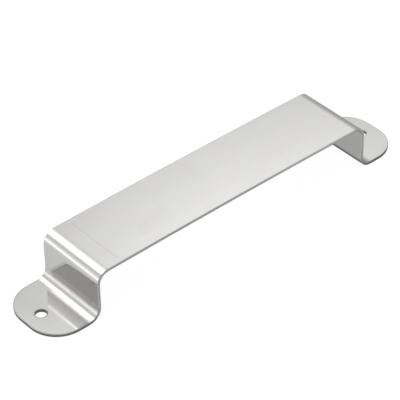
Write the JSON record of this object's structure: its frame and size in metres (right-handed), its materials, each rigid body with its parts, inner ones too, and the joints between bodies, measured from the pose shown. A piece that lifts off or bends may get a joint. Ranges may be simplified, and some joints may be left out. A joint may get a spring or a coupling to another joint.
{
  "type": "bridge pull handle",
  "caption": "Flat metal strip folded into a low bridge grip on two short risers, with rounded feet that are screwed down from above.",
  "frame": {"origin": "middle of the footprint, on the plane that the undersides of the two feet rest on", "axes": "+X along the grip from one foot to the other, +Y across the strip, +Z away from the mounting surface"},
  "size_m": [0.198, 0.035, 0.0245],
  "materials": {
    "stainless_steel": "cold-rolled stainless strip, finely polished, with soft clear reflections and a faint grain along its length"
  },
  "bodies": {
    "root": {"handle": "stainless_steel"}
  },
  "joints": []
}
